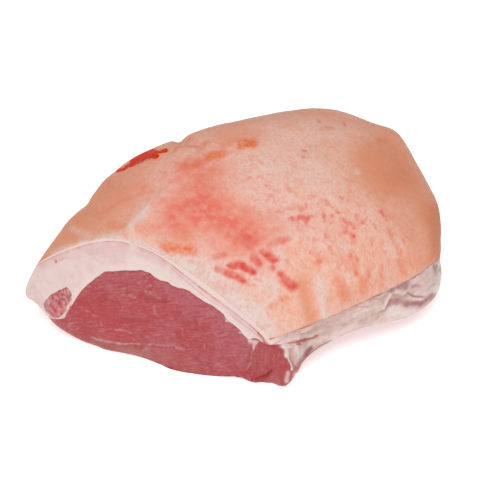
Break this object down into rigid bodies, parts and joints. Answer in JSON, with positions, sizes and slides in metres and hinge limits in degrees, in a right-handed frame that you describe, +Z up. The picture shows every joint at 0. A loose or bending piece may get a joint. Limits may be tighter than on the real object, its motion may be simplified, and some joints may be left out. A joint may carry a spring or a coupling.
{
  "type": "pork silverside",
  "caption": "Raw boneless pork leg joint with a domed rind, a fat layer under it and lean muscle showing at a square cut front face.",
  "frame": {"origin": "middle of the underside, on the surface that the joint rests on", "axes": "+X along the cut face to the right, +Y from the cut face to the back, +Z up through the rind"},
  "size_m": [0.2192, 0.2146, 0.1009],
  "materials": {
    "rind_fat": "soft satin, slightly moist",
    "lean": "moist satin"
  },
  "bodies": {
    "root": {"fat_cap": "rind_fat", "lean_main": "lean", "lean_corner": "lean", "lean_tail": "lean"}
  },
  "joints": []
}
